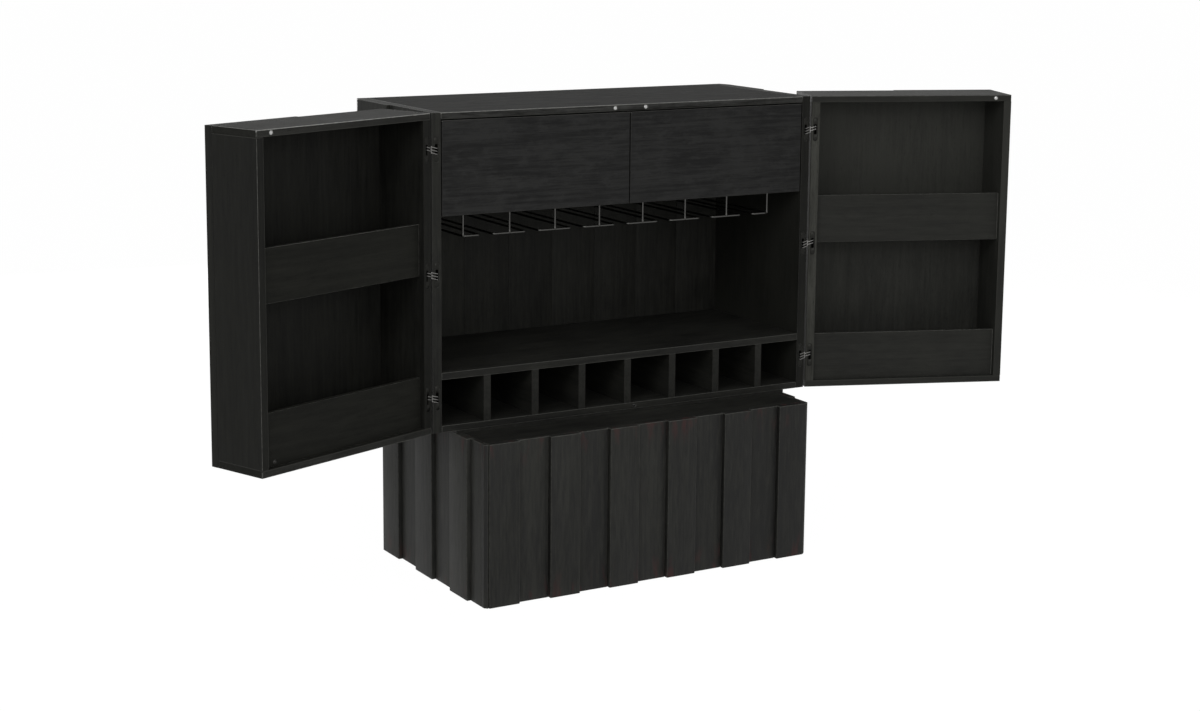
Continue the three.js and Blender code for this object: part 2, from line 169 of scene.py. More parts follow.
# Lit and shaded copies of the charcoal, which paint light and shade: the shaded look darkens the left door's
# uprights and the right side panel, and with a paler top tone the left door's boards; the lit looks pale the
# right door's inside, brightest on its hinge stile
shadedLook = {
    **charcoal, "deep": (0.0018, 0.0018, 0.0014), "pale": (0.0190, 0.0192, 0.0162),
    "streak": 1.0, "fleck": 0.8, "blotch": 0.7, "gloss": 0.13,
}
leftLevelLook = {
    **shadedLook, "pale": (0.0300, 0.0303, 0.0256), "streak": 0.6, "fleck": 0.4, "band": 0.4, "blotch": 0.5,
    "gloss": 0.09,
}
litLook = {
    **charcoal, "deep": (0.008, 0.008, 0.0068), "pale": (0.040, 0.0405, 0.0350), "streak": 0.7, "fleck": 0.6,
}
brightestLitLook = {**litLook, "deep": (0.026, 0.026, 0.0228), "pale": (0.118, 0.119, 0.105), "gloss": 0.05}
liningLook = {**charcoal, "deep": (0.018, 0.013, 0.009), "pale": (0.045, 0.034, 0.025), "roughness": 0.62}

grain = {  # for each mark's noise: its scale along the board over that across, then scale, detail, roughness
    "streak": (0.03, 170.0, 4.0, 0.7),
    "fleck": (0.13, 105.0, 3.0, 0.65),
    "fine": (0.03, 1150.0, 2.0, 0.5),
    "band": (0.06, 21.0, 3.0, 0.55),
    "blotch": (1.0, 7.0, 4.0, 0.6),
    "figure": (0.055, 9.0, 2.0, 0.45),
    "pores": (0.045, 1700.0, 1.0, 0.5),
    "cloud": (0.55, 34.0, 5.0, 0.75),
    "wear": (0.3, 31.0, 3.0, 0.6),
}
grainMix = {
    "plainest": 0.45,  # where the wood lies between deep, 0, and pale, 1, without its grain
    "fineShare": 0.5,  # of the streaks' weight
    "lines": 95.0, "lineShare": 0.16,  # how close the growth lines are, and their weight
    "poreFrom": 0.64, "poreBand": 0.47,  # pores need both noises above these
    "cloudRise": 2.2,
    "boardShift": (3.7, 1.9, 5.3), "boardChange": 0.22, "postDarker": 0.45,
    "pieceShift": (1.0, 0.7, 1.3),
    "streakRough": 0.22, "blotchRough": 0.18,
    "streakHeight": 0.7, "fineHeight": 0.35, "poreDepth": 0.5, "bump": 0.55,
}
wear = {  # reddish patches towards the planks' ends
    "tone": (0.050, 0.017, 0.016), "middle": 0.2, "clear": 0.13, "endRise": 18.0, "from": 0.56, "rise": 9.0,
}
boardNumbers = {"front": 1, "left": 21, "right": 41, "back": 61, "post": 80}  # where each row's numbers begin


def stainedWood(name, look, along="z", turn=0.0, shift=0.0, boards=False, paintedLifts=(), zones=()):
    # Each mark is a noise drawn out along the board, and growth lines are the sine of a slow one. Their
    # weighted sum is the light, which goes from the deep tone at 0 to the pale one at 1.
    # A lift paints light, or shade where its amount is below 0: it adds its amount to the light, over a ramp
    # of its slope from its start on one axis. A zone, above or below a limit on one axis, has deep and pale
    # tones of its own; the zones here paint light on a face, and shade on the hinge strip, apart from the
    # doors' outsides, which keep the plain charcoal.
    material, wire, shader = newMaterial(name)
    here = wire.node("ShaderNodeTexCoord", output="Object")
    place = here
    if boards:  # each board of the piece has its own number, which moves its grain
        number = wire.node("ShaderNodeAttribute", {"attribute_name": "board"}, output="Fac")
        step = {axis: number * share for axis, share in zip("XYZ", grainMix["boardShift"])}
        offset = wire.node("ShaderNodeCombineXYZ", inputs=step)
        place = wire.node("ShaderNodeVectorMath", {"operation": "ADD"}, {0: here, 1: offset})
    place = wire.node("ShaderNodeMapping", inputs={
        "Vector": place, "Rotation": (0, 0, turn),
        "Location": [shift * share for share in grainMix["pieceShift"]]})

    def pattern(kind):
        lengthwise, *noise = grain[kind]
        scales = [lengthwise if axis == along else 1.0 for axis in "xyz"]
        drawn = wire.node("ShaderNodeVectorMath", {"operation": "MULTIPLY"}, {0: place, 1: scales})
        return drawn.noise(*noise)

    streak, fine, fleck, band, blotch = map(pattern, ("streak", "fine", "fleck", "band", "blotch"))
    figure = (pattern("figure") * grainMix["lines"]).maths("SINE")
    pores = (pattern("pores") > grainMix["poreFrom"]) * (band > grainMix["poreBand"])
    light = (streak - 0.5) * look["streak"] + (fine - 0.5) * (grainMix["fineShare"] * look["streak"]) \
        + (fleck - 0.5) * look["fleck"] + (band - 0.5) * look["band"] + (blotch - 0.5) * look["blotch"] \
        + figure * (grainMix["lineShare"] * look["figure"]) - pores * look["pores"] + grainMix["plainest"]
    if look["cloud"]:  # pale, patchy rubbing along the grain
        light = light + ((pattern("cloud") - 0.5) * grainMix["cloudRise"]).clamped() * look["cloud"]
    unlifted = light
    if paintedLifts or zones or look["wear"]:
        x, y, z = here.split()
        spot = {"x": x, "y": y, "z": z, "reach": doorReach(x, y), "depth": doorDepth(x, y)}
    # painted light and shade: each lift lightens the wood along its axis, and darkens it where its amount is
    # below 0
    for paintedLift in paintedLifts:
        light = light + ((spot[paintedLift["axis"]] - paintedLift["start"]) * paintedLift["slope"]).clamped() * paintedLift["amount"]
    if boards:
        own = wire.node("ShaderNodeTexWhiteNoise", {"noise_dimensions": "1D"}, {"W": number})
        light = light + (own - 0.5) * grainMix["boardChange"]
        light = light - (number > boardNumbers["post"]) * grainMix["postDarker"]
    colour = light.clamped().between(look["deep"], look["pale"])
    for zone in zones:
        reading = spot[zone["axis"]]
        within = reading > zone["above"] if "above" in zone else reading < zone["below"]
        colour = within.between(colour, unlifted.clamped().between(zone["deep"], zone["pale"]))
    if look["wear"]:
        ends = ((z - wear["middle"]).maths("ABSOLUTE") - wear["clear"]) * wear["endRise"]
        worn = (pattern("wear") - wear["from"]) * wear["rise"]
        colour = (worn.clamped() * ends.clamped() * look["wear"]).between(colour, wear["tone"])
    feed(colour, shader, "Base Color")
    rough = (streak - 0.5) * grainMix["streakRough"] + (blotch - 0.5) * grainMix["blotchRough"]
    feed((rough + look["roughness"]).clamped(), shader, "Roughness")
    shader.inputs["Specular IOR Level"].default_value = look["gloss"]
    height = streak * grainMix["streakHeight"] + fine * grainMix["fineHeight"] - pores * grainMix["poreDepth"]
    bump = wire.node("ShaderNodeBump", inputs={
        "Strength": grainMix["bump"], "Distance": look["relief"], "Height": height})
    feed(bump, shader, "Normal")
    return material


# the arrises' finish: real rubbing noise, and tones that paint highlights on the edges
arrisRubbingAndHighlight = {
    "noise": (95.0, 5.0, 0.75),  # scale, detail and roughness
    "from": 0.36, "rise": 3.2,  # where in the noise the rubbing starts, and how fast it grows
    "faintest": 0.4, "faintestCrest": 0.55,  # shares of the full tone
    "plainArris": (0.038, 0.038, 0.0335),
    "jointHalf": 0.0024, "freeEnd": 0.525,  # half height of a joint, and a free end's reach from the hinge
    "roughness": 0.4, "roughnessRise": 0.3, "gloss": 0.15,
}


def arrisWood(name, tone, joints=(), crest=None, freeEndOnly=False):
    # The edge of a board: partly real rubbing, where the stain is thinner, and partly a painted highlight
    # where the arris catches the light. It stays dark at the levels of the joints, carries its palest painted
    # highlight above the crest level, and on a door's end board is rubbed and highlighted at the outer corner
    # only.
    material, wire, shader = newMaterial(name)
    place = wire.node("ShaderNodeTexCoord", output="Object")
    x, y, level = place.split()
    rub = place.noise(*arrisRubbingAndHighlight["noise"])
    share = ((rub - arrisRubbingAndHighlight["from"]) * arrisRubbingAndHighlight["rise"]).clamped()
    colour = share.between([arrisRubbingAndHighlight["faintest"] * value for value in tone], tone)
    spared = [level.maths("COMPARE", joint, arrisRubbingAndHighlight["jointHalf"]) for joint in joints]
    if freeEndOnly:
        spared.append(1.0 - (doorReach(x, y) > arrisRubbingAndHighlight["freeEnd"]))
    for mask in spared:
        colour = mask.between(colour, arrisRubbingAndHighlight["plainArris"])
    # painted highlight: above the crest level the arris takes the crest's pale tone
    if crest:
        crestLevel, crestTone = crest
        pale = share.between([arrisRubbingAndHighlight["faintestCrest"] * value for value in crestTone], crestTone)
        colour = (level > crestLevel).between(colour, pale)
    feed(colour, shader, "Base Color")
    feed(rub * arrisRubbingAndHighlight["roughnessRise"] + arrisRubbingAndHighlight["roughness"], shader, "Roughness")
    shader.inputs["Specular IOR Level"].default_value = arrisRubbingAndHighlight["gloss"]
    return material


# the doors' outsides keep the plain charcoal; the painted shade and light of the door looks stay on their
# insides
doorOutside = {"axis": "depth", "above": 0.150, "deep": charcoal["deep"], "pale": charcoal["pale"]}
wood = {
    # the left side panel: painted light, paler from 0.8 m upwards
    "upright": stainedWood("stainedUpright", charcoal, "z", paintedLifts=[
        {"axis": "z", "start": 0.8, "slope": 5.0, "amount": 0.15}]),
    # the right side panel: the shaded look, painted shade as the light falls off to the right, with painted
    # light paling all of it behind its front edge
    "shadedSideUpright": stainedWood("shadedRightSidePanel", shadedLook, "z", shift=1.7, paintedLifts=[
        {"axis": "y", "start": 0.002, "slope": 400.0, "amount": 0.5}]),
    "level": stainedWood("stainedLevel", charcoal, "x", shift=0.6),
    # the top panel, with its front face paler still: painted light
    "top": stainedWood("stainedTop", topLook, "x", shift=0.35, zones=[
        {"axis": "y", "below": 0.001, "deep": (0.012, 0.012, 0.011), "pale": (0.078, 0.0785, 0.074)}]),
    "drawer": stainedWood("drawerWood", drawerLook, "x", shift=2.3),
    "innerUpright": stainedWood("innerUpright", innerLook, "z", boards=True),
    # the left door's stiles and face: the shaded look, painted shade on the open door's inside
    "shadedUpright": stainedWood("shadedUpright", shadedLook, "z", shift=9.2, zones=[doorOutside]),
    # the right door's face and free stile: the lit look, painted light, paler again towards the top and near
    # the hinge, painted light that fills the shade of the top board and the hinge stile
    "litUpright": stainedWood("litUpright", litLook, "z", shift=8.4, zones=[doorOutside], paintedLifts=[
        {"axis": "z", "start": 0.70, "slope": 6.0, "amount": 0.45},
        {"axis": "reach", "start": 0.15, "slope": -8.0, "amount": 0.4}]),
    # the right door's hinge stile: the brightest lit look, painted light, with a painted shadow on its side
    # face beside the hinge gap, where the case's side shades it
    "brightestLitUpright": stainedWood("brightestLitUpright", brightestLitLook, "z", shift=2.9, zones=[
        {"axis": "reach", "below": 0.0045, "deep": (0.014, 0.014, 0.0122), "pale": (0.060, 0.060, 0.053)}]),
    "innerDeep": stainedWood("innerDeep", innerLook, "y", shift=5.4),
    "lining": stainedWood("drawerLining", liningLook, "y", shift=6.1),
    # painted light: the left side's planks paler, and the planks darker from the middle towards the right, as
    # the light falls off
    "planks": stainedWood("plankWood", plankLook, "z", boards=True, paintedLifts=[
        {"axis": "x", "start": -0.455, "slope": -2000.0, "amount": 0.22},
        {"axis": "x", "start": 0.0, "slope": 3.0, "amount": -0.35}]),
    # the left door's boards, rails and shelf: the shaded look with a paler top tone, and the edges along the
    # open door's inner rim painted paler again, as lit
    "left": stainedWood("leftDoorLevel", leftLevelLook, "x", turn=-doorStand["tilt"], shift=7.3, zones=[
        {"axis": "depth", "below": 0.002, "deep": (0.010, 0.010, 0.009), "pale": (0.062, 0.0625, 0.057)}]),
    # the right door's boards, rails and shelf: the lit look, painted light
    "right": stainedWood("rightDoorLevel", litLook, "x", turn=doorStand["tilt"], shift=7.3),
}
endJoints = (1.146, 0.421)  # where top and bottom boards meet the uprights
# painted highlight: arrises above this level take the palest tones
crestLevel = 1.158  # only the topmost arrises lie above it
drawerEdges = (0.9195, 1.1405)  # the drawer fronts' lower arris, and the foot of their upper one
# arris tones: partly rubbed wear, partly painted highlights picking out the edges that catch the light
arris = {
    "bright": arrisWood("arrisRubAndHighlight", (0.115, 0.115, 0.105)),
    "rail": arrisWood("railArrisRubAndHighlight", (0.34, 0.34, 0.315)),
    "outer": arrisWood("outerArrisRubAndHighlight", (0.12, 0.12, 0.111), endJoints, (crestLevel, (0.36, 0.36, 0.34))),
    "left": arrisWood("rubbedLeftArris", (0.13, 0.13, 0.12), endJoints, (crestLevel, (0.50, 0.50, 0.475))),
    "right": arrisWood("rightArrisRubAndHighlight", (0.12, 0.12, 0.111), endJoints, (crestLevel, (0.16, 0.16, 0.15))),
    # the hinge stiles' arrises: kept dark, painted shade beside the hinge gap
    "hinged": arrisWood("shadedHingeArris", (0.04, 0.04, 0.036), endJoints),
    "freeEnd": arrisWood("endArrisRubAndHighlight", (0.17, 0.17, 0.158), endJoints, freeEndOnly=True),
    "drawer": arrisWood("drawerArrisRubAndHighlight", (0.030, 0.030, 0.028), drawerEdges[:1],
                        (drawerEdges[1], (0.15, 0.15, 0.14))),
    "soft": arrisWood("softArrisRubAndHighlight", (0.045, 0.045, 0.041)),
    "plank": arrisWood("plankArrisRubAndHighlight", (0.062, 0.0625, 0.056)),
}
print("wood finishes made:", len(wood))


# Metal

metalLook = {
    "blackWire": {"tone": (0.085, 0.084, 0.080), "roughness": 0.34, "grain": 300.0},
    "hingeSteel": {"tone": (0.24, 0.235, 0.226), "roughness": 0.28, "grain": 700.0},
    "hingeDark": {"tone": (0.022, 0.022, 0.020), "roughness": 0.42, "grain": 500.0},
    "runnerSteel": {"tone": (0.46, 0.47, 0.48), "roughness": 0.38, "grain": 240.0},
    "catchSteel": {"tone": (0.50, 0.50, 0.49), "roughness": 0.30, "grain": 500.0},
    "catchDark": {"tone": (0.055, 0.055, 0.052), "roughness": 0.35, "grain": 500.0},
}
plating = {
    "speck": (3.0, 0.6), "cloud": (2.0, 0.5), "cloudSize": 9,  # details and roughnesses of the two noises
    "speckShare": 0.6, "cloudShare": 0.7, "lowered": 0.15, "darkest": 0.72,
    "roughnessChange": 0.2, "bump": 0.2, "relief": 0.0001,
}


def metal(name, look):
    # plated or painted steel: fine mottling moves the tone and roughness a little
    material, wire, shader = newMaterial(name)
    place = wire.node("ShaderNodeTexCoord", output="Object")
    speck = place.noise(look["grain"], *plating["speck"])
    cloud = place.noise(look["grain"] / plating["cloudSize"], *plating["cloud"])
    mottling = speck * plating["speckShare"] + cloud * plating["cloudShare"] - plating["lowered"]
    darkest = [plating["darkest"] * value for value in look["tone"]]
    feed(mottling.clamped().between(darkest, look["tone"]), shader, "Base Color")
    feed((speck - 0.5) * plating["roughnessChange"] + look["roughness"], shader, "Roughness")
    shader.inputs["Metallic"].default_value = 1.0
    bump = wire.node("ShaderNodeBump", inputs={
        "Strength": plating["bump"], "Distance": plating["relief"], "Height": speck})
    feed(bump, shader, "Normal")
    return material


steel = {name: metal(name, look) for name, look in metalLook.items()}


# Surfaces worked out with numpy

redrawn = set()  # the nodes that a piece is seen in place of
merging = {"doubles": 2e-6, "degenerate": 1e-6}


def pieceFrom(name, points, faces, materials, board=None, faceSlots=None):
    # a smooth mesh object with its doubles merged and its faces turned outwards
    mesh = bpy.data.meshes.new(name)
    mesh.from_pydata(points, [], faces)
    for material in materials:
        mesh.materials.append(material)
    if board is not None:
        mesh.attributes.new("board", "FLOAT", "POINT").data.foreach_set("value", board.astype(np.float32))
    if faceSlots is not None:
        mesh.polygons.foreach_set("material_index", faceSlots)
    work = bmesh.new()
    work.from_mesh(mesh)
    bmesh.ops.remove_doubles(work, verts=work.verts, dist=merging["doubles"])
    bmesh.ops.dissolve_degenerate(work, dist=merging["degenerate"], edges=work.edges)
    bmesh.ops.recalc_face_normals(work, faces=work.faces)
    work.to_mesh(mesh)
    work.free()
    mesh.polygons.foreach_set("use_smooth", np.ones(len(mesh.polygons), bool))
    piece = bpy.data.objects.new(name, mesh)
    bpy.context.scene.collection.objects.link(piece)
    return piece


def standsFor(piece, node, body):
    # the piece moves with the body, and is seen in place of the node
    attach(piece, body)
    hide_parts(node)
    redrawn.add(node)


def gridFaces(count, rings, around):
    # quads between neighbouring rings, each ring closed on itself, for count grids in a row
    grid, ring, step = np.meshgrid(np.arange(count), np.arange(rings - 1), np.arange(around), indexing="ij")
    here = (grid * rings + ring) * around
    nextStep = (step + 1) % around
    quads = np.stack([here + step, here + nextStep, here + around + nextStep, here + around + step], -1)
    return quads.reshape(-1, 4)


def endFaces(rings, around):
    # the two faces that close a grid at its first and at its last ring
    return [list(range(around))[::-1], list(range((rings - 1) * around, rings * around))]


def gathered(parts):
    # several (points, faces) as one
    points, faces, first = [], [], 0
    for partPoints, partFaces in parts:
        points.append(partPoints)
        faces += [[first + index for index in face] for face in partFaces]
        first += len(partPoints)
    return np.concatenate(points), faces


def rectangle(lowX, highX, lowY, highY):
    return [(lowX, lowY), (highX, lowY), (highX, highY), (lowX, highY)]


def roundedLoop(halfX, halfY, corner, steps=6):
    # rectangle with quarter-circle corners, anticlockwise from its right lower corner
    angle = np.linspace(0, np.pi / 2, steps + 1)[None] + np.array([-np.pi / 2, 0, np.pi / 2, np.pi])[:, None]
    signX = np.array([1, 1, -1, -1])[:, None]
    signY = np.array([-1, 1, 1, -1])[:, None]
    x = signX * (halfX - corner) + corner * np.cos(angle)
    y = signY * (halfY - corner) + corner * np.sin(angle)
    return np.column_stack([x.ravel(), y.ravel()])


def roundedBoards(outlines, low, high, radius, cornerSteps=3):
    # Each board is its plan outline carried from low to high. Every arris is a quarter circle of the
    # radius: a point is its corner's centre, plus radius times the cosine of the climb outwards, and
    # radius times its sine up or down. Also gives each point's board, and each face's kind: 0 flat,
    # 1 upright arris, 2 level arris.
    outlines = np.asarray(outlines, float)
    count, corners = outlines.shape[:2]
    edge = np.roll(outlines, -1, 1) - outlines
    edge /= np.linalg.norm(edge, axis=2, keepdims=True)
    out = np.stack([edge[..., 1], -edge[..., 0]], -1)
    before = np.roll(out, 1, 1)
    half = (before + out) / (1 + (before * out).sum(2, keepdims=True))
    centre = outlines - radius * half
    start = np.arctan2(before[..., 1], before[..., 0])
    turn = np.arctan2(before[..., 0] * out[..., 1] - before[..., 1] * out[..., 0], (before * out).sum(2))
    angle = start[..., None] + turn[..., None] * np.linspace(0, 1, cornerSteps + 1)
    around = corners * (cornerSteps + 1)
    spoke = np.stack([np.cos(angle), np.sin(angle)], -1).reshape(count, 1, around, 2)
    middle = np.repeat(centre, cornerSteps + 1, 1).reshape(count, 1, around, 2)
    quarter = np.linspace(0, np.pi / 2, cornerSteps + 1)
    climb = np.concatenate([quarter - np.pi / 2, quarter])
    rings = len(climb)
    plan = middle + radius * np.cos(climb)[None, :, None, None] * spoke
    level = np.where(np.arange(rings) < rings / 2, low + radius, high - radius) + radius * np.sin(climb)
    heights = np.broadcast_to(level[None, :, None, None], (count, rings, around, 1))
    points = np.concatenate([plan, heights], -1)
    first = np.arange(count)[:, None] * rings * around
    bottom = first + np.arange(around)[::-1]
    top = first + (rings - 1) * around + np.arange(around)
    faces = gridFaces(count, rings, around).tolist() + bottom.tolist() + top.tolist()
    ring, step = np.meshgrid(np.arange(rings - 1), np.arange(around), indexing="ij")
    kind = np.where(ring != cornerSteps, 2, step % (cornerSteps + 1) != cornerSteps)
    kind = np.concatenate([np.tile(kind.ravel(), count), np.zeros(2 * count, int)])
    return points.reshape(-1, 3), faces, np.repeat(np.arange(count), rings * around), kind


def sweep(path, radius, normal, sides, closed=False):
    # A tube round a flat path: each ring is its point plus the radius times the cosine along the
    # path's side and times the sine along the normal of the path's plane
    path = np.asarray(path, float)
    along = np.roll(path, -1, 0) - np.roll(path, 1, 0) if closed else np.gradient(path, axis=0)
    along /= np.linalg.norm(along, axis=1, keepdims=True)
    normal = np.asarray(normal, float)
    aside = np.cross(along, normal)
    angle = np.linspace(0, 2 * np.pi, sides, endpoint=False)[None, :, None]
    radius = np.broadcast_to(radius, (len(path),))[:, None, None]
    rings = path[:, None] + radius * (np.cos(angle) * aside[:, None] + np.sin(angle) * normal)
    if closed:
        rings = np.concatenate([rings, rings[:1]])
    ends = [] if closed else endFaces(len(rings), sides)
    return rings.reshape(-1, 3), gridFaces(1, len(rings), sides).tolist() + ends


def turned(profile, centre, sides, cross=None):
    # A profile of (radius, v) turned about an axis along v. Its last ring is closed, and its first, at
    # the axis, is left open. A cross recess sinks the points that lie within its half width of either
    # diameter and inside its reach.
    profile = np.asarray(profile, float)
    angle = np.linspace(0, 2 * np.pi, sides, endpoint=False)
    u = profile[:, :1] * np.cos(angle)
    w = profile[:, :1] * np.sin(angle)
    v = np.broadcast_to(profile[:, 1:], u.shape)
    if cross:
        inside = (np.minimum(np.abs(u), np.abs(w)) < cross["half"]) & (np.hypot(u, w) < cross["reach"])
        v = np.where(inside, v + cross["depth"], v)
    points = np.stack([u + centre[0], v + centre[1], w + centre[2]], -1).reshape(-1, 3)
    return points, gridFaces(1, len(profile), sides).tolist() + endFaces(len(profile), sides)[1:]


# Base planks, in the same row of sizes as the part

plankSizes = {
    "rowHalf": 0.452, "frontCount": 11, "proud": -0.130, "recess": -0.120, "inside": -0.108,
    "sideProud": 0.472, "sideRecess": 0.462, "sideInside": 0.450, "back": 0.421,
    "sideRecessWidth": 0.0965, "sideFrontRecess": 0.055, "height": 0.397, "arris": 0.0016, "seam": 0.00035,
}


def buildPlanks(sizes):
    seam = sizes["seam"]
    edges = np.linspace(-sizes["rowHalf"], sizes["rowHalf"], sizes["frontCount"] + 1)
    proud, recess, inside = sizes["proud"], sizes["recess"], sizes["inside"]
    front = [rectangle(a + seam, b - seam, proud if index % 2 == 0 else recess, inside)
             for index, (a, b) in enumerate(zip(edges, edges[1:]))]
    for sign in (-1, 1):  # the corner posts, cut off on the outside
        near = sign * (sizes["rowHalf"] + seam)
        far = sign * sizes["sideRecess"]
        post = [(near, inside), (near, proud), (far, recess), (far, inside)]
        front.append(post if sign > 0 else post[::-1])
    proudWidth = (sizes["back"] - inside - sizes["sideFrontRecess"] - 2 * sizes["sideRecessWidth"]) / 3
    widths = [proudWidth, sizes["sideRecessWidth"]] * 2 + [proudWidth, sizes["sideFrontRecess"]]
    depths = sizes["back"] - np.cumsum([0.0] + widths)
    claddings = {"front": front}
    for name, sign in (("left", -1), ("right", 1)):
        claddings[name] = []
        for index, (rear, fore) in enumerate(zip(depths, depths[1:])):
            outer = sizes["sideProud"] if index % 2 == 0 else sizes["sideRecess"]
            span = sorted((sign * sizes["sideInside"], sign * outer))
            claddings[name].append(rectangle(*span, fore + seam, rear - seam))
    for name, outlines in claddings.items():
        points, faces, board, kind = roundedBoards(outlines, 0.0, sizes["height"], sizes["arris"])
        first = np.where(board < sizes["frontCount"], boardNumbers[name], boardNumbers["post"])
        piece = pieceFrom(f"{name}Planks", points, faces, [wood["planks"], arris["plank"], arris["bright"]],
                          board=first + board, faceSlots=kind)
        standsFor(piece, f"base_{name}_planks", "case")


backSizes = {
    "half": 0.5105, "count": 8, "front": 0.388, "back": 0.408, "low": 0.421, "high": 1.146,
    "arris": 0.0007, "seam": 0.0002,
}


def buildBackBoards(sizes):
    edges = np.linspace(-sizes["half"], sizes["half"], sizes["count"] + 1)
    outlines = [rectangle(a, b - sizes["seam"], sizes["front"], sizes["back"])
                for a, b in zip(edges, edges[1:])]
    points, faces, board, _ = roundedBoards(outlines, sizes["low"], sizes["high"], sizes["arris"])
    piece = pieceFrom("backBoards", points, faces, [wood["innerUpright"]], board=boardNumbers["back"] + board)
    standsFor(piece, "back_panel", "case")


buildPlanks(plankSizes)
buildBackBoards(backSizes)
print("planks and back boards built")


# Wire glass rack

rackSizes = {
    "wire": 0.0025, "level": 0.8635, "front": 0.040, "rear": 0.360, "firstStem": -0.434, "count": 8,
    "halfWidth": 0.044, "corner": 0.007, "sides": 14, "stemRings": 15, "stemInStrap": 0.001,
    "slim": 0.94, "flare": 0.5, "flareFrom": 0.002, "flareReach": 0.0022, "strapLow": 0.9185,
    "strapHigh": 0.9215, "strapHalf": 0.454, "strapHalfDepth": 0.010, "strapArris": 0.0008,
}


def buildRack(sizes):
    # Each hanger is a bent loop on two stems under the straps. A stem's radius is the wire's times the
    # slim share plus a flare, which falls off as e to the minus distance from the nearer end.
    pitch = -2 * sizes["firstStem"] / (sizes["count"] - 1)
    ends = (sizes["front"], sizes["rear"])
    rings = sizes["stemRings"]
    stemZ = np.linspace(sizes["level"], sizes["strapLow"] + sizes["stemInStrap"], rings)
    toEnd = np.minimum(stemZ - sizes["level"], sizes["strapLow"] - stemZ)
    fall = np.exp(-np.maximum(toEnd - sizes["flareFrom"], 0) / sizes["flareReach"])
    stemRadius = sizes["wire"] * (sizes["slim"] + sizes["flare"] * fall)
    parts = []
    for index in range(sizes["count"]):
        stem = sizes["firstStem"] + index * pitch
        left = stem - (sizes["halfWidth"] if index > 0 else 0)
        right = stem + (sizes["halfWidth"] if index < sizes["count"] - 1 else 0)
        loop = roundedLoop((right - left) / 2, (ends[1] - ends[0]) / 2, sizes["corner"])
        loop += [(left + right) / 2, sum(ends) / 2]
        loop = np.column_stack([loop, np.full(len(loop), sizes["level"])])
        parts.append(sweep(loop, sizes["wire"], (0, 0, 1), sizes["sides"], closed=True))
        for y in ends:
            path = np.column_stack([np.full(rings, stem), np.full(rings, y), stemZ])
            parts.append(sweep(path, stemRadius, (1, 0, 0), sizes["sides"]))
    straps = [rectangle(-sizes["strapHalf"], sizes["strapHalf"], y - sizes["strapHalfDepth"],
                        y + sizes["strapHalfDepth"]) for y in ends]
    parts.append(roundedBoards(straps, sizes["strapLow"], sizes["strapHigh"], sizes["strapArris"])[:2])
    piece = pieceFrom("wireRack", *gathered(parts), [steel["blackWire"]])
    standsFor(piece, "glass_rack", "case")


buildRack(rackSizes)
print("glass rack built")


# Hinges and catches. They are worked out lying in a board's edge: u outwards across the edge, v into
# the board, w upwards.

hingeSizes = {
    "levels": {"bottom": 0.490, "middle": 0.7835, "top": 1.077}, "centre": 0.522,
    "plateHalf": (0.006, 0.030), "plateThickness": 0.0025, "windowHalf": (0.0034, 0.0125), "cupDepth": 0.0150,
    "bodyHalf": (0.004, 0.021), "bodyDepth": 0.0185, "corner": 0.0016, "bodyEase": 0.0006, "ease": 0.0004,
    "linkThickness": 0.0016, "linkPitch": 0.0034, "linkCount": 5, "linkArris": 0.0003, "slant": 0.28,
    "linkHalf": 0.0016, "rootDepth": 0.0075, "armBack": -0.0004, "eyeHalf": (0.00165, 0.00068),
    "rivetRadius": 0.0011, "rivetTop": -0.0017, "rivetRise": 0.0005, "rivetFoot": -0.0010, "rivetRings": 5,
    "eyeSides": 12, "pinRadius": 0.0007, "pinSpare": 0.0006, "pinRings": 9, "pinSides": 10,
    "hair": 1e-5,  # keeps points of rounded ends and poles from falling in one place
}
screwSizes = {
    "radius": 0.0031, "level": 0.0215, "crown": 0.00018, "rim": 0.0003, "taper": 0.55, "depth": 0.0022,
    "pole": 0.0002, "cross": {"half": 0.00045, "reach": 0.0019, "depth": 0.0009}, "rings": 11, "sides": 40,
}


def edgePlace(points, side, door, centreU, level):
    # u, v, w of a board's edge to the part's own x, y, z. A closed door's edge faces the case's, mirrored
    # in the hinge axis's plane, and turns about that axis by half a turn less the tilt.
    u, v, w = points.T
    x = side * (centreU + u)
    y = v
    if door:
        axisX, axisY = side * doorStand["axis"][0], doorStand["axis"][1]
        turn = side * (math.pi - doorStand["tilt"])
        offX, offY = x - axisX, axisY - v
        x = axisX + offX * math.cos(turn) - offY * math.sin(turn)
        y = axisY + offX * math.sin(turn) + offY * math.cos(turn)
    return np.column_stack([x, y, level + w])


def leafShell(sizes):
    # Rings of rounded rectangles, from the body's closed end round the plate and down into the cup
    plateU, plateW = sizes["plateHalf"]
    windowU, windowW = sizes["windowHalf"]
    bodyU, bodyW = sizes["bodyHalf"]
    thick, deep, cup = sizes["plateThickness"], sizes["bodyDepth"], sizes["cupDepth"]
    corner, ease, bodyEase, hair = sizes["corner"], sizes["ease"], sizes["bodyEase"], sizes["hair"]
    rings = [  # half sizes, corner radius and v
        (bodyU - bodyEase, bodyW - bodyEase, corner - bodyEase, deep),
        (bodyU, bodyW, corner, deep - bodyEase),
        (bodyU, bodyW, corner, thick),
        (plateU, plateW, plateU - hair, thick),
        (plateU, plateW, plateU - hair, ease),
        (plateU - ease, plateW - ease, plateU - ease - 5 * hair, 0.0),
        (windowU + ease, windowW + ease, corner + ease, 0.0),
        (windowU, windowW, corner, ease),
        (windowU, windowW, corner, cup),
    ]
    loops = []
    for u, w, radius, v in rings:
        loop = roundedLoop(u, w, radius)
        loops.append(np.column_stack([loop[:, 0], np.full(len(loop), v), loop[:, 1]]))
    around = len(loops[0])
    return np.concatenate(loops), gridFaces(1, len(rings), around).tolist() + endFaces(len(rings), around)


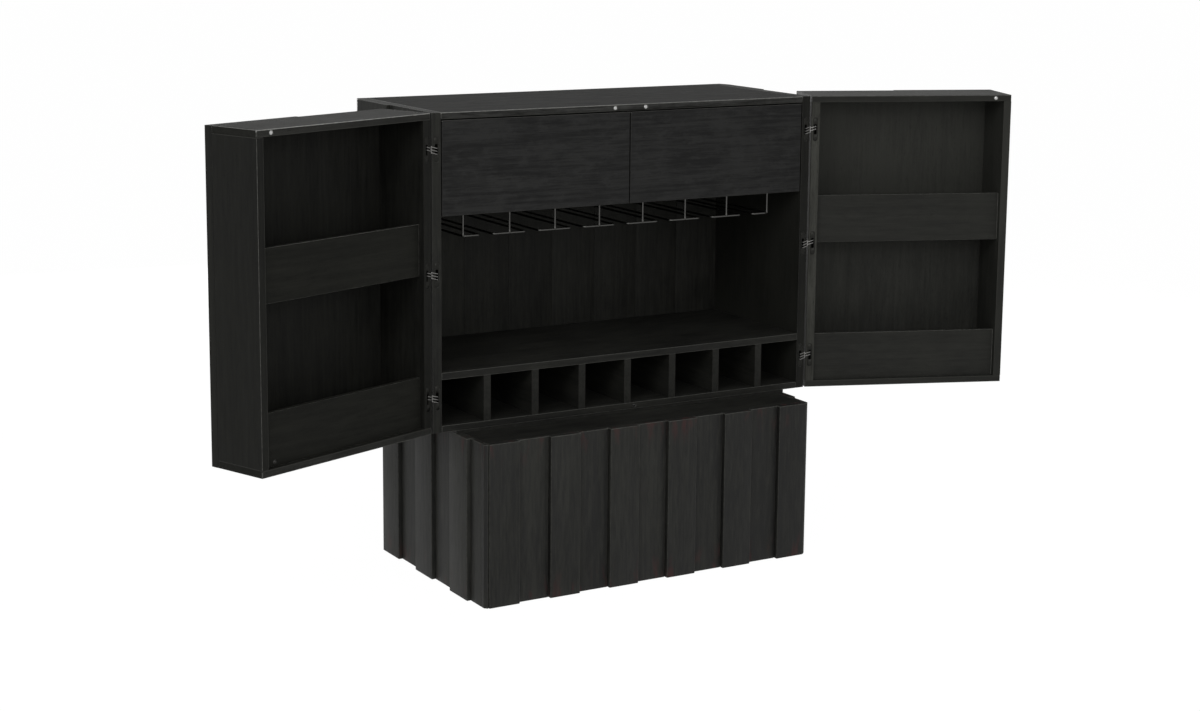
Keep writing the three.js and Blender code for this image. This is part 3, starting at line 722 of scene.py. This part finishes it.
def screwProfile(sizes):
    # a low dome, crown times (1 - (r / radius) squared) high, then the rim and the tapered shank
    radius = sizes["radius"]
    inner = np.linspace(sizes["pole"], radius - sizes["rim"], sizes["rings"])
    dome = np.column_stack([inner, sizes["crown"] * ((inner / radius) ** 2 - 1)])
    return np.concatenate([dome, [(radius, sizes["rim"]), (radius * sizes["taper"], sizes["depth"])]])


def linkParts(sizes, door, reach):
    # Flat links stacked in turn with the other leaf's: a root in the cup, an arm in the closing gap
    # and an eye round the pin. The arm climbs from root to eye by the slant.
    parts = []
    half, linkHalf, ease = sizes["linkThickness"] / 2, sizes["linkHalf"], sizes["linkArris"]
    eyeU, eyeV = sizes["eyeHalf"]
    climb = -sizes["slant"] if door else sizes["slant"]
    angle = np.linspace(0, 2 * np.pi, sizes["eyeSides"], endpoint=False)
    eye = np.column_stack([reach + eyeU * np.cos(angle), doorStand["axis"][1] + eyeV * np.sin(angle)])
    root = rectangle(-linkHalf, linkHalf, -linkHalf, sizes["rootDepth"])
    arm = rectangle(0.0, reach, -linkHalf, sizes["armBack"])
    quarter = np.linspace(0, np.pi / 2, sizes["rivetRings"])
    rivet = np.column_stack([sizes["rivetRadius"] * np.sin(quarter) + sizes["hair"],
                             sizes["rivetTop"] + sizes["rivetRise"] * (1 - np.cos(quarter))])
    rivet = np.concatenate([rivet, [(sizes["rivetRadius"], sizes["rivetFoot"])]])
    for index in range(int(door), sizes["linkCount"], 2):
        eyeLevel = (index - (sizes["linkCount"] - 1) / 2) * sizes["linkPitch"]
        for outline in (root, arm, eye):
            points, faces = roundedBoards([outline], eyeLevel - half, eyeLevel + half, ease, 2)[:2]
            points[:, 2] += (points[:, 0] - reach) * climb
            parts.append((points, faces))
        parts.append(turned(rivet, (0.0, 0.0, eyeLevel - reach * climb), sizes["eyeSides"]))
    return parts


def pinPart(sizes, reach):
    # the pin: a tube whose radius falls off at its ends, as the root of 1 - share to the twelfth
    share = np.linspace(-1, 1, sizes["pinRings"])
    tall = sizes["linkCount"] / 2 * sizes["linkPitch"] + sizes["pinSpare"]
    path = np.array([(reach, doorStand["axis"][1], tall * part) for part in share])
    radius = sizes["pinRadius"] * np.sqrt(np.maximum(1 - share ** 12, 0.05))
    return sweep(path, radius, (1, 0, 0), sizes["pinSides"])


def buildHinges(sizes, screw):
    reach = doorStand["axis"][0] - sizes["centre"]
    screws = [turned(screwProfile(screw), (0, 0, level), screw["sides"], screw["cross"])
              for level in (-screw["level"], screw["level"])]
    dark = gathered([leafShell(sizes), *screws])
    for sideName, side in (("left", -1), ("right", 1)):
        for levelName, level in sizes["levels"].items():
            for door in (False, True):
                links = linkParts(sizes, door, reach)
                if not door:
                    links.append(pinPart(sizes, reach))
                points, faces = gathered([dark, *links])
                slots = (np.arange(len(faces)) >= len(dark[1])).astype(int)  # the links are bright
                words = (sideName, "door") if door else ("case", sideName)
                name = f"{words[0]}{words[1].title()}{levelName.title()}Leaf"
                piece = pieceFrom(name, edgePlace(points, side, door, sizes["centre"], level), faces,
                                  [steel["hingeDark"], steel["hingeSteel"]], faceSlots=slots)
                body = f"{sideName}_door" if door else "case"
                standsFor(piece, f"{words[0]}_{words[1]}_hinge_{levelName}", body)


buildHinges(hingeSizes, screwSizes)
print("hinges built")


# Round catches: a steel cup with a magnet in it, and a groove between the two

catchSizes = {
    "profile": np.array([  # radius and depth, in millimetres
        (0.01, 0.05), (2.9, 0.05), (3.05, 0.15), (3.1, 0.6), (3.35, 0.6), (3.4, 0.1), (3.6, 0.0), (4.2, 0.0),
        (4.4, 0.08), (4.5, 0.28), (4.5, 4.0), (0.01, 4.0)]) / 1000,
    "sides": 40,
    "places": {  # side, on a door, distance from the middle of the case, level, and depth behind the edge
        "case_catch_top_left": (-1, False, 0.043, 1.154, 0.0),
        "case_catch_top_right": (1, False, 0.043, 1.154, 0.0),
        "case_catch_bottom": (1, False, 0.020, 0.413, 0.0),
        "left_door_catch_top": (-1, True, 0.043, 1.154, 0.0),
        "right_door_catch_top": (1, True, 0.043, 1.154, 0.0),
        "left_door_catch_bottom": (-1, True, 0.051, 0.431, 0.015),
    },
}


def buildCatches(sizes):
    for node, (side, door, offset, level, depth) in sizes["places"].items():
        points, faces = turned(sizes["profile"], (0, depth, 0), sizes["sides"])
        finish = steel["catchDark" if node.endswith("bottom") else "catchSteel"]
        piece = pieceFrom("catch" + node.title().replace("_", ""),
                          edgePlace(points, side, door, offset, level), faces, [finish])
        standsFor(piece, node, f"{node.split('_')[0]}_door" if door else "case")


buildCatches(catchSizes)
print("catches built")


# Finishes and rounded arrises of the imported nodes

edgeShape = {
    "wood": 0.0012, "thin": 0.0008, "metal": 0.0005, "top": 0.0018, "doorBoard": 0.0017,
    "segments": 2, "leastAngle": 40, "weld": 2e-5,
}


def finishNode(name, material, edge=None, width="wood"):
    # Weld joins the loose triangles, and Bevel rounds the arrises and gives them their edge finish: rubbing,
    # with painted highlights, and painted shade on the hinge stiles
    item = nodes[name]
    item.data.materials.clear()
    item.data.materials.append(material)
    item.data.materials.append(edge or material)
    weld = item.modifiers.new("weld", "WELD")
    weld.merge_threshold = edgeShape["weld"]
    bevel = item.modifiers.new("bevel", "BEVEL")
    bevel.width = edgeShape[width]
    bevel.segments = edgeShape["segments"]
    bevel.limit_method = "ANGLE"
    bevel.angle_limit = math.radians(edgeShape["leastAngle"])
    bevel.material = 1


for name in nodes:
    side = name.split("_")[0]
    hinged = name.endswith("hinge_stile")
    if name in redrawn:
        continue
    if name.endswith("runner"):
        finishNode(name, steel["runnerSteel"], width="metal")
    elif name.endswith("tray"):
        finishNode(name, wood["lining"], width="thin")
    elif name.endswith("drawer_front"):
        finishNode(name, wood["drawer"], arris["drawer"])
    elif name in ("drawer_deck", "spacer_board") or "divider" in name:
        finishNode(name, wood["innerDeep"], arris["soft"], "thin")
    elif name == "top_panel":
        finishNode(name, wood["top"], arris["outer"], "top")
    elif name in ("serving_shelf", "bottom_panel"):
        finishNode(name, wood["level"], arris["bright"])
    elif name == "base_frame":
        finishNode(name, wood["level"], arris["soft"])
    # the right side panel takes the shaded copy with its painted shade
    elif name.startswith("side_panel"):
        finishNode(name, wood["upright" if name.endswith("left") else "shadedSideUpright"], arris["outer"])
    # the doors' stiles and faces: the left door's carry painted shade, the right door's painted light
    elif name.endswith(("stile", "face")):
        finish = {"left": "shadedUpright", "right": "brightestLitUpright" if hinged else "litUpright"}[side]
        finishNode(name, wood[finish], arris["hinged" if hinged else "freeEnd"])
    elif name.endswith("board"):
        finishNode(name, wood[side], arris[side], "doorBoard")
    elif name.endswith(("rail", "shelf")):
        finishNode(name, wood[side], arris["rail"])
    else:
        print("no finish for", name)
print("nodes finished")


# Stage, camera and light

def seenDirectly(wire):
    # 1 for camera, glossy and transmission rays, which see the white studio
    camera, glossy, through = (wire.node("ShaderNodeLightPath", output=f"Is {kind} Ray")
                               for kind in ("Camera", "Glossy", "Transmission"))
    return camera.maths("MAXIMUM", glossy).maths("MAXIMUM", through)


stageLook = {
    "tone": (0.86, 0.86, 0.86), "roughness": 0.9, "gloss": 0.1, "glow": 0.93, "strength": 1.06, "half": 30.0,
    "level": -0.0005,
}


def buildStage(look):
    # a pale floor, which glows white by the share of the glow where it is seen directly
    material, wire, shader = newMaterial("paleFloor")
    shader.inputs["Base Color"].default_value = (*look["tone"], 1)
    shader.inputs["Roughness"].default_value = look["roughness"]
    shader.inputs["Specular IOR Level"].default_value = look["gloss"]
    lit = Wire(wire.tree, shader.outputs[0])
    white = wire.node("ShaderNodeEmission", inputs={"Strength": look["strength"]})
    mixed = wire.node("ShaderNodeMixShader", inputs={0: seenDirectly(wire) * look["glow"], 1: lit, 2: white})
    feed(mixed, wire.tree.nodes["Material Output"], "Surface")
    corners = rectangle(-look["half"], look["half"], -look["half"], look["half"])
    floor = pieceFrom("floor", [(*corner, look["level"]) for corner in corners], [(0, 1, 2, 3)], [material])


skyLook = {"strength": 0.10, "tone": (1, 1, 1, 1), "seen": (1, 1, 1, 1)}


def buildSky(look):
    world = bpy.data.worlds.new("studio")
    bpy.context.scene.world = world
    world.use_nodes = True
    wire = Wire(world.node_tree)
    lit = wire.node("ShaderNodeBackground", inputs={"Color": look["tone"], "Strength": look["strength"]})
    white = wire.node("ShaderNodeBackground", inputs={"Color": look["seen"], "Strength": 1.0})
    mixed = wire.node("ShaderNodeMixShader", inputs={0: seenDirectly(wire), 1: lit, 2: white})
    feed(mixed, wire.tree.nodes["World Output"], "Surface")


lamps = {
    "key": {"place": (-3.6, -2.8, 3.3), "aim": (0, 0, 0.6), "size": 2.2, "power": 62},
    "front": {"place": (-0.9, -5.2, 2.2), "aim": (0, 0, 0.6), "size": 2.0, "power": 56},
    "right": {"place": (4.4, 0.3, 0.75), "aim": (0, 0, 0.6), "size": 1.2, "power": 50},
    "rear": {"place": (0.8, 4.8, 0.75), "aim": (0, 0, 0.6), "size": 1.2, "power": 60},
}


def setInPlace(item, place, right, up, back):
    # puts the item in its place with its X, Y and Z along the three directions
    turn = Matrix(np.column_stack([right, up, back]).tolist()).to_4x4()
    item.matrix_world = Matrix.Translation(place) @ turn
    bpy.context.scene.collection.objects.link(item)


def buildLamps(settings):
    # each lamp's -Z points at its aim, and its +Y as near upwards as that leaves it
    for name, look in settings.items():
        light = bpy.data.lights.new(name, "AREA")
        light.shape = "SQUARE"
        light.size = look["size"]
        light.energy = look["power"]
        back = np.subtract(look["place"], look["aim"])
        back = back / np.linalg.norm(back)
        right = np.cross((0, 0, 1), back)
        right /= np.linalg.norm(right)
        setInPlace(bpy.data.objects.new(name, light), look["place"], right, np.cross(back, right), back)


cameraLook = {
    "place": (-2.70275, -4.46299, 1.63686), "yaw": 30.5124, "downward": 9.7535, "roll": 0.5341,
    "lens": 64.7705, "sensor": 36.0, "shift": (-0.00273, -0.06647), "farthest": 100.0,
}


def buildCamera(look):
    yaw, down, roll = (math.radians(look[key]) for key in ("yaw", "downward", "roll"))
    ahead = np.array([math.sin(yaw) * math.cos(down), math.cos(yaw) * math.cos(down), -math.sin(down)])
    level = np.array([math.cos(yaw), -math.sin(yaw), 0.0])
    upward = np.cross(level, ahead)
    right = level * math.cos(roll) + upward * math.sin(roll)
    up = upward * math.cos(roll) - level * math.sin(roll)
    data = bpy.data.cameras.new("camera")
    data.sensor_width = look["sensor"]
    data.lens = look["lens"]
    data.shift_x, data.shift_y = look["shift"]
    data.clip_end = look["farthest"]
    camera = bpy.data.objects.new("camera", data)
    setInPlace(camera, look["place"], right, up, -ahead)
    bpy.context.scene.camera = camera


buildStage(stageLook)
buildSky(skyLook)
buildLamps(lamps)
buildCamera(cameraLook)
bpy.context.scene.view_settings.view_transform = "Standard"
print("stage, lamps and camera set")
